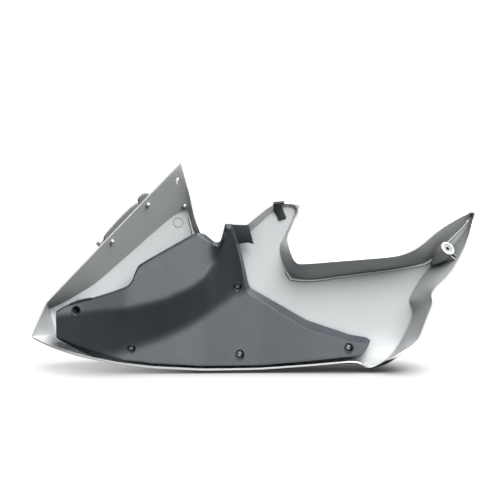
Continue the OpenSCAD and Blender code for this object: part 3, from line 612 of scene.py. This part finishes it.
# upper outline: fold x, z; edge x, z; share of the way back to the panel; foot x; spans
linerKeys = [
    (-679, -102, -680, -101, 0.14, -679, 1), (-669, -96, -670, -94, 0.14, -670, 1),
    (-655, -91, -656, -89, 0.14, -659, 3), (-617, -82, -618, -80, 0.14, -634, 2),
    (-585, -73, -586, -71, 0.14, -612, 2), (-556, -63, -557, -61, 0.14, -596, 1),
    (-547, -53, -549, -52, 0.16, -588, 1), (-542, -39, -544, -38, 0.18, -580, 1),
    (-537, -31, -539, -29, 0.2, -572, 1), (-526, -24, -527, -22, 0.2, -560, 6), (-445, 17, -446, 19, 0.3, -508, 1),
    (-434, 20, -434, 22, 0.4, -496, 1), (-425, 15, -423, 18, 0.52, -486, 2), (-409, 4, -408, 6, 0.55, -468, 1),
    (-401, 2, -400, 5, 0.55, -460, 1), (-394, 6, -396, 8, 0.6, -453, 1), (-390, 17, -393, 17, 0.64, -447, 1),
    (-386, 36, -388, 37, 0.64, -440, 2), (-378, 36, -375, 37, 0.64, -420, 1), (-369, 10, -365, 10, 0.62, -404, 1),
    (-360, -28, -356, -27, 0.8, -384, 2), (-354, -69, -348, -66, 0.9, -362, 1), (-349, -82, -344, -76, 0.9, -346, 5),
    (-248, -138, -244, -130, 0.9, -264, 3), (-171, -159, -168, -152, 0.7, -190, 1),
    (-146, -161, -140, -155, 0.6, -164, 1), (-138, -165, -133, -160, 0.6, -149, 0)]
linerRows = [j / liner["rows"] for j in range(liner["rows"] + 1)]
linerFill = fillKeys(linerKeys, [max(1, k[6] * liner["columnSplit"]) for k in linerKeys])
linerTop = [row[0:2] for row in linerFill]
linerFoot = [vec(row[5], lookup(row[5], linerFootZ)) for row in linerFill]
linerRear = [mix(linerFoot[-1], linerTop[-1], v) for v in linerRows]
linerGrid = [[vec(p[0], linerSoftY(p[0], p[1]), p[1]) for p in column]
             for column in columnGrid(linerFoot, linerTop, linerRear, linerRows, linerRows)]
linerRimTop = []
for row in linerFill:
    back = panelY(row[2], row[3]) - liner["gap"] - liner["thick"]
    linerRimTop.append(vec(row[2], mix(linerSoftY(row[0], row[1]), back, row[4]), row[3]))
linerRimFoot = [vec(p[0], min(linerY(p[0], p[1]) + liner["lip"], panelY(p[0], p[1] - 1) - liner["thick"] - 1),
                    p[1] - lookup(p[0], skirt)) for p in linerFoot]
linerRimRear = [mix(linerRimFoot[-1], linerRimTop[-1], v) + vec(2 * math.sin(math.pi * v), 0, 0) for v in linerRows]
linerRim = rimLoop(linerRimFoot, linerRimRear, linerRimTop, linerRows)
linerCorners = [(-388, 37), (-375, 37), (-680, -101), (-680, -145)]
linerPiece = trayObject("linerSheet", linerGrid, linerRim, liner["ring"], [0] * len(linerRim),
                        lambda x, z: liner["foldCrease"], linerCorners)
modifier(linerPiece, "SUBSURF", levels=liner["levels"], render_levels=liner["levels"])
modifier(linerPiece, "SOLIDIFY", thickness=liner["thick"] * mm, offset=-1)
applyAll(linerPiece)

# screw cups, each cut through the sheet and lined with its own wall and floor
cups = {"inner": 15, "depth": 9, "floor": 2.5, "wall": 1.2, "hole": 5.4, "frontHole": 6.4, "edge": 0.7,
        "cutReach": 14, "screws": [(-551, -168), (-362, -180), (-172, -169), (-366, -71)], "open": (-645, -99)}
cupSpots = cups["screws"] + [cups["open"]]


def cupY(p):
    return linerY(p[0], p[1]) + cups["depth"]


def cupObject(name, p, hole):
    segments, inner, bottom = 48, cups["inner"] / 2, cupY(p)
    # radius, its depth where that is level, and else how far below the liner's face it runs
    rows = [(inner + cups["edge"], None, 0.05), (inner + 0.2, None, 0.35), (inner, None, 0.9), (inner, bottom, 0),
            (hole / 2, bottom, 0), (hole / 2, bottom + cups["floor"], 0)]
    verts, faces = [], []
    for radius, depth, below in rows:
        for s in range(segments):
            angle = 2 * math.pi * s / segments
            x, z = p[0] + radius * math.cos(angle), p[1] + radius * math.sin(angle)
            y = linerSoftY(x, z) + below if depth is None else depth
            verts.append(vec(x, min(y, bottom), z))
    for q in range(len(rows) - 1):
        for s in range(segments):
            t = (s + 1) % segments
            faces.append((q * segments + s, (q + 1) * segments + s, (q + 1) * segments + t, q * segments + t))
    cup = makeObject(name, verts, faces)
    modifier(cup, "SOLIDIFY", thickness=cups["wall"] * mm, offset=-1)
    applyAll(cup)
    shadeSmooth(cup, 40)
    return finishPiece(cup, mouldedPp, "liner_plastic", "inner_liner")


cutters = bpy.data.collections.new("cupCutters")
cutR, reach = cups["inner"] / 2 + cups["edge"], cups["cutReach"]
for number, spot in enumerate(cupSpots):
    cutter = lathe("cupCutter", [(0, -reach), (cutR, -reach), (cutR, reach), (0, reach)])
    setPlace(cutter, frameMatrix(vec(spot[0], linerY(*spot), spot[1]), vec(0, -1, 0), vec(1, 0, 0)))
    cutters.objects.link(cutter)
    cupObject("screwCup%d" % (number + 1), spot, cups["frontHole"] if spot == cups["open"] else cups["hole"])
modifier(linerPiece, "BOOLEAN", operation="DIFFERENCE", operand_type="COLLECTION", collection=cutters, solver="EXACT",
         use_self=True)
applyAll(linerPiece)
for cutter in list(cutters.objects):
    bpy.data.objects.remove(cutter)
bevelEdges(linerPiece, 0.4, 55)
shadeSmooth(linerPiece, 50)
finishPiece(linerPiece, mouldedPp, "liner_plastic", "inner_liner")

# posts of the panel that meet the floors of the cups and take their screws
posts = {"outer": 12, "bore": 5.1, "gap": 0.3, "edge": 0.4, "floor": 4, "sunk": 1}
outerR, boreR = posts["outer"] / 2, posts["bore"] / 2
for number, spot in enumerate(cupSpots):
    top, bottom = cupY(spot) + cups["floor"] + posts["gap"], panelY(*spot) + posts["sunk"]
    postProfile = [(0, bottom - posts["floor"]), (boreR, bottom - posts["floor"]), (boreR, top),
                   (outerR - posts["edge"], top), (outerR, top + posts["edge"]), (outerR, bottom), (0, bottom)]
    post = lathe("post%d" % (number + 1), postProfile, 40)
    setPlace(post, frameMatrix(vec(spot[0], 0, spot[1]), vec(0, 1, 0), vec(1, 0, 0)))
    for v in post.data.vertices:  # the foot follows the curve of the skin and ends inside it
        v.co.y = min(v.co.y, (panelY(v.co.x / mm, v.co.z / mm) + posts["sunk"]) * mm)
    shadeSmooth(post, 40)
    finishPiece(post, mouldedAbs, "panel_plastic", "outer_panel")

# flat hooked tab beside the top of the liner
hook = {"x": -380, "z": 2, "y": 31.3, "width": 32, "height": 35, "thick": 2.5}
hookLine = [(0, 0.1), (0, 1), (1.05, 0.97), (1.32, 0), (1, 0.08), (0.4, 0)]  # shares of the width and the height
hookAt, hookSize = vec(hook["x"], hook["y"], hook["z"]), vec(hook["width"], hook["thick"], hook["height"])
hookVerts = [hookAt + hookSize * vec(across, side, up) for side in (0, 1) for across, up in hookLine]
count = len(hookLine)
hookFaces = [tuple(range(count - 1, -1, -1)), tuple(range(count, 2 * count))]
hookFaces += [(s, (s + 1) % count, (s + 1) % count + count, s + count) for s in range(count)]
hookPiece = turnOutward(makeObject("hookedTab", hookVerts, hookFaces))
bevelEdges(hookPiece, 0.5)
shadeSmooth(hookPiece, 40)
finishPiece(hookPiece, mouldedPp, "liner_plastic", "inner_liner")
print("liner made:", len(linerPiece.data.polygons), "faces")


# trim strip behind the front flange: where it starts, how far it stands out, and the line of its free edge

strip = {"key": 2, "start": 0.275, "length": 127, "thick": 4, "out": 8, "inner": 0.68, "stations": 90, "gap": 0.3,
         "normalAt": 0.9,
         "shape": [(0, 0.9), (0.05, 0.95), (0.06, 0), (0.11, 0), (0.125, 0.3), (0.16, 0.7), (0.25, 0.9), (0.4, 1),
                   (0.55, 1), (0.7, 0.85), (0.79, 0.5), (0.81, 0.1), (0.82, 0.75), (0.87, 1.15), (0.93, 1.1),
                   (0.975, 0.8), (1, 0.1)]}


def ribbonObject(name, sections):
    verts = [p for section in sections for p in section]
    count = len(sections[0])
    faces = [tuple(range(count)), tuple(range(len(verts) - 1, len(verts) - count - 1, -1))]
    for i in range(len(sections) - 1):
        for q in range(count):
            t = (q + 1) % count
            faces.append((count * i + q, count * (i + 1) + q, count * (i + 1) + t, count * i + t))
    return turnOutward(makeObject(name, verts, faces))


edgeLength = np.linalg.norm(flangePoint(strip["key"], 1, 1) - flangePoint(strip["key"], 0, 1))
flangeWidth = np.linalg.norm(flangePoint(strip["key"], 0.5, 1) - flangePoint(strip["key"], 0.5, 0))
near = face["skin"] + strip["gap"]
far = near + strip["thick"]
sections = []
for s in range(strip["stations"] + 1):
    share = s / strip["stations"]
    along = strip["start"] + share * strip["length"] / edgeLength
    out = 1 + lookup(share, strip["shape"]) * strip["out"] / flangeWidth
    normal = flangeFrame(strip["key"], along, strip["normalAt"])[2]
    low, high = flangePoint(strip["key"], along, strip["inner"]), flangePoint(strip["key"], along, out)
    sections.append([low - normal * near, high - normal * near, high - normal * far, low - normal * far])
stripPiece = ribbonObject("trimStrip", sections)
bevelEdges(stripPiece, 0.5, 50)
shadeSmooth(stripPiece, 45)
finishPiece(stripPiece, mouldedPpGrey, "strip_plastic", "trim_strip")

# rubber pad folded over the top of the arm
pad = {"key": 12, "along": 0.36, "width": 13, "length": 27, "tail": 7, "thick": 2, "gap": 0.6, "flap": 7,
       "down": (0.4, 0, -0.92)}
padAcross, padNormal = flangeFrame(pad["key"], pad["along"], 0.5)[1:]
padEdge, padRoot = flangePoint(pad["key"], pad["along"], 1), flangePoint(pad["key"], pad["along"], 0)
skinNormal = faceNormal(padRoot[0], padRoot[2])
gap, skin = pad["gap"], face["skin"]


def downFace(length):  # a place on the skin, so far below the root of the flange
    p = padRoot + vec(*pad["down"]) * length
    return lift((p[0], p[2])) + skinNormal * gap


# middle of the pad, the way its thickness goes, and 1 where the flap sticks out
padPath = [(downFace(pad["length"] - pad["tail"]), skinNormal, 0), (downFace(15), skinNormal, 0),
           (downFace(9), skinNormal, 0),
           (mix(padRoot, padEdge, 0.5) + padNormal * gap + skinNormal * 0.6, unit(skinNormal + padNormal), 0),
           (padEdge + (padNormal + padAcross * 0.5) * gap, unit(padNormal + padAcross) * 0.5, 1),
           (padEdge - padNormal * (skin + gap) + padAcross * gap * 0.5, unit(padAcross - padNormal) * 0.5, 1),
           (mix(padRoot, padEdge, 0.35) - padNormal * (skin + gap), -padNormal * 0.8, 0)]
sections = []
for i, (spot, outward, flap) in enumerate(padPath):
    half = flangeFrame(pad["key"], pad["along"], 0.03 if i < 3 else 0.97)[0] * pad["width"] / 2
    left, right = spot - half, spot + half * (1 + 2 * flap * pad["flap"] / pad["width"])
    sections.append([left, right, right + outward * pad["thick"], left + outward * pad["thick"]])
padPiece = ribbonObject("edgePad", sections)
bevelEdges(padPiece, 0.5, 40, 3)
shadeSmooth(padPiece, 45)
finishPiece(padPiece, mouldedRubber, "rubber", "edge_pad")
print("strip and pad made")


# raised beads: one just inside the fold of the notch and up the tail, one beside the apex, one on the liner's edge

beads = {"radius": 1.4, "inset": 2.6, "rise": 1.7, "thinEnd": 0.35, "notch": (18.4, 26.6), "apex": (5.9, 7.2),
         "liner": (-657, -617), "linerRadius": 1.6, "linerRise": 2.6, "linerSunk": 0.8, "linerBack": 1.2}


def beadObject(name, path, radius, sides=10):
    sections = []
    for i, p in enumerate(path):
        ahead = unit(path[min(i + 1, len(path) - 1)] - path[max(i - 1, 0)])
        across = unit(np.cross(ahead, vec(0, -1, 0)))
        up = np.cross(across, ahead)
        thick = radius * (beads["thinEnd"] if i in (0, len(path) - 1) else 1)
        sections.append([p + thick * (math.cos(turn) * across + math.sin(turn) * up)
                         for turn in [2 * math.pi * s / sides for s in range(sides)]])
    obj = ribbonObject(name, sections)
    modifier(obj, "SUBSURF", levels=1, render_levels=1)
    applyAll(obj)
    shadeSmooth(obj, 60)
    return obj


def foldPath(first, last, samples=90):  # along the inside of the upper fold, from one key to another
    points = []
    for s in range(samples + 1):
        key = first + (last - first) * s / samples
        k = min(int(key), len(topKeys) - 2)
        row = mix(vec(*topKeys[k]), vec(*topKeys[k + 1]), key - k)
        top, foot = row[0:2], vec(row[5], lookup(row[5], bellyLine))
        points.append(lift(top + unit(foot - top) * beads["inset"], beads["rise"]))
    return points


def linerEdgePath(first, last, samples=20):  # a low hump on the liner's front edge, with steep ends
    edgeLine = [(k[2], k[3]) for k in linerKeys[:6]]
    points = []
    for s in range(samples + 1):
        x = mix(first, last, s / samples)
        z = lookup(x, edgeLine)
        up = beads["linerRise"] * math.sin(math.pi * s / samples) ** 0.3 - beads["linerSunk"]
        points.append(vec(x, linerSoftY(x, z) + beads["linerBack"], z + up))
    return points


# the notch and apex beads take the paler ABS, a painted highlight, so they read as bright lines
for name in ("notch", "apex"):
    bead = beadObject(name + "Bead", foldPath(*beads[name]), beads["radius"])
    finishPiece(bead, highlightPaintedAbs, "panel_plastic", "outer_panel")
linerBead = beadObject("linerBead", linerEdgePath(*beads["liner"]), beads["linerRadius"])
finishPiece(linerBead, mouldedPp, "liner_plastic", "inner_liner")
print("beads made")


# solids that are right as they are get their finish only

keptSolids = {"liner_screw_1": zincSteel, "liner_screw_2": zincSteel, "liner_screw_3": zincSteel,
              "liner_screw_4": zincSteel, "trim_screw_1": zincSteel, "trim_screw_2": zincSteel,
              "apex_screw": zincSteel, "tail_sleeve": turnedSteel, "tail_grommet": mouldedRubberPale}
for nodeName, material in keptSolids.items():
    mesh = nodes[nodeName].data
    mesh.materials.clear()
    mesh.materials.append(material)


# floor, light and camera

studio = {"floorZ": -208.6, "floorHalf": 40000, "fill": 0.09, "bounce": 0.06, "paperDiffuse": 0.06,
          "shadowReach": 65, "shadowShut": 0.42, "shadowOpen": 0.96, "shadowGlow": 0.04, "paperGlow": 0.93,
          "raisedEnd": (-740, -420), "raisedGlow": 0.8, "sunPower": 7.3, "sunAngle": 50,
          "sunFrom": (0.41, -0.37, 0.83), "backPower": 2.2, "backAngle": 30, "backFrom": (0.1, 0.6, 0.8)}

half = studio["floorHalf"]
floor = makeObject("studioFloor", [(x * half, y * half, studio["floorZ"]) for x, y in
                                   ((-1, -1), (1, -1), (1, 1), (-1, 1))], [(0, 1, 2, 3)])
paper = bpy.data.materials.new("whitePaper")
paper.use_nodes = True
tree = paper.node_tree
tree.nodes.clear()
# the paper glows white to the camera, with painted shadow where the glow drops as the panel stands close to it, and
# keeps its real shadow too
near = addNode(tree, "ShaderNodeAmbientOcclusion", {"Distance": studio["shadowReach"] * mm, "samples": 16})
clear = addNode(tree, "ShaderNodeMapRange", {"From Min": studio["shadowShut"], "From Max": studio["shadowOpen"],
                                             "To Min": studio["shadowGlow"], "To Max": studio["paperGlow"]},
                {"Value": (near, "AO")})
# painted shadow made fainter by position toward the panel's front end, where the panel lifts off the floor
where = addNode(tree, "ShaderNodeTexCoord")
parts = addNode(tree, "ShaderNodeSeparateXYZ", {}, {"Vector": (where, "Object")})
raisedFrom, raisedTo = (x * mm for x in studio["raisedEnd"])
raised = addNode(tree, "ShaderNodeMapRange", {"From Min": raisedFrom, "From Max": raisedTo,
                                              "To Min": studio["raisedGlow"], "To Max": 0.0}, {"Value": (parts, "X")})
soft = addNode(tree, "ShaderNodeMath", {"operation": "MAXIMUM"}, {0: (clear, "Result"), 1: (raised, "Result")})
glow = addNode(tree, "ShaderNodeEmission", {}, {"Strength": (soft, "Value")})
lit = addNode(tree, "ShaderNodeBsdfDiffuse", {"Color": [studio["paperDiffuse"]] * 3 + [1]})
both = addNode(tree, "ShaderNodeAddShader", {}, {0: (lit, 0), 1: (glow, 0)})
dull = addNode(tree, "ShaderNodeBsdfDiffuse", {"Color": [studio["bounce"]] * 3 + [1]})
seen = addNode(tree, "ShaderNodeLightPath")
pick = addNode(tree, "ShaderNodeMixShader", {}, {0: (seen, "Is Camera Ray"), 1: (dull, 0), 2: (both, 0)})
addNode(tree, "ShaderNodeOutputMaterial", {}, {"Surface": (pick, 0)})
floor.data.materials.append(paper)

world = bpy.data.worlds.new("studioWorld")
scene.world = world
world.use_nodes = True
tree = world.node_tree
tree.nodes.clear()
seen = addNode(tree, "ShaderNodeLightPath")
level = addNode(tree, "ShaderNodeMapRange", {"To Min": studio["fill"], "To Max": 1.0},
                {"Value": (seen, "Is Camera Ray")})
sky = addNode(tree, "ShaderNodeBackground", {"Color": (1, 1, 1, 1)}, {"Strength": (level, "Result")})
addNode(tree, "ShaderNodeOutputWorld", {}, {"Surface": (sky, 0)})


def sunLamp(name, power, angle, fromWhere):
    lamp = bpy.data.lights.new(name, "SUN")
    lamp.energy = power
    lamp.angle = math.radians(angle)
    obj = bpy.data.objects.new(name, lamp)
    obj.rotation_euler = Vector(fromWhere).to_track_quat("Z", "Y").to_euler()
    scene.collection.objects.link(obj)


sunLamp("softFront", studio["sunPower"], studio["sunAngle"], studio["sunFrom"])
sunLamp("softBack", studio["backPower"], studio["backAngle"], studio["backFrom"])

shot = {"target": (-344.2, 22, -33.6), "distance": 3200, "elevation": 12, "lens": 130.9, "sensor": 36,
        "shiftY": 0.03, "farClip": 100}
cameraData = bpy.data.cameras.new("camera")
cameraData.lens = shot["lens"]
cameraData.sensor_width = shot["sensor"]
cameraData.shift_y = shot["shiftY"]
cameraData.clip_end = shot["farClip"]
camera = bpy.data.objects.new("camera", cameraData)
tilt = math.radians(shot["elevation"])
aim = Vector(shot["target"]) * mm
camera.location = aim + Vector((0, -math.cos(tilt), math.sin(tilt))) * shot["distance"] * mm
camera.rotation_euler = (math.radians(90) - tilt, 0, 0)
scene.collection.objects.link(camera)
scene.camera = camera
scene.view_settings.view_transform = "Standard"
print("studio set")
